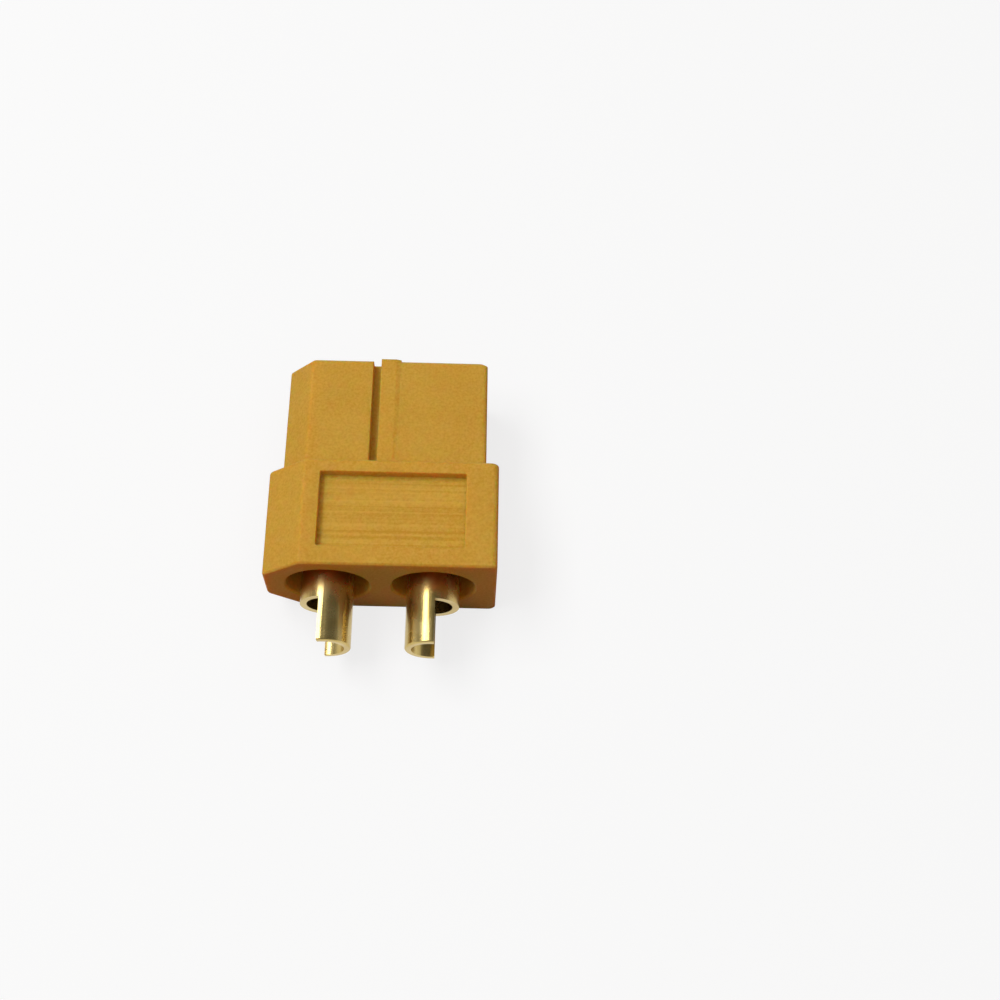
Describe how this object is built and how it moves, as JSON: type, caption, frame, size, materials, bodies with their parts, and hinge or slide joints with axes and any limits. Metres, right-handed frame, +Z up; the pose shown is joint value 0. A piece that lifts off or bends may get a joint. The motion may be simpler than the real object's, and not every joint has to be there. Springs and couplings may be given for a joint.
{
  "type": "battery power connector",
  "caption": "Socket half of a keyed battery power connector: nylon housing with a grip collar and a keyed nose, tubular sockets and open solder cups.",
  "frame": {"origin": "middle of the part's outline, on the surface that the collar lies on", "axes": "+Y along the mating direction, out of the nose; +X toward the square, positive side; +Z up, normal to the broad faces"},
  "size_m": [0.0158, 0.0204, 0.0081],
  "materials": {
    "nylon": "satin moulded nylon, yellow-orange",
    "plated_brass": "gold-plated turned brass"
  },
  "bodies": {
    "root": {"housing": "nylon", "positive_contact": "plated_brass", "negative_contact": "plated_brass"}
  },
  "joints": []
}
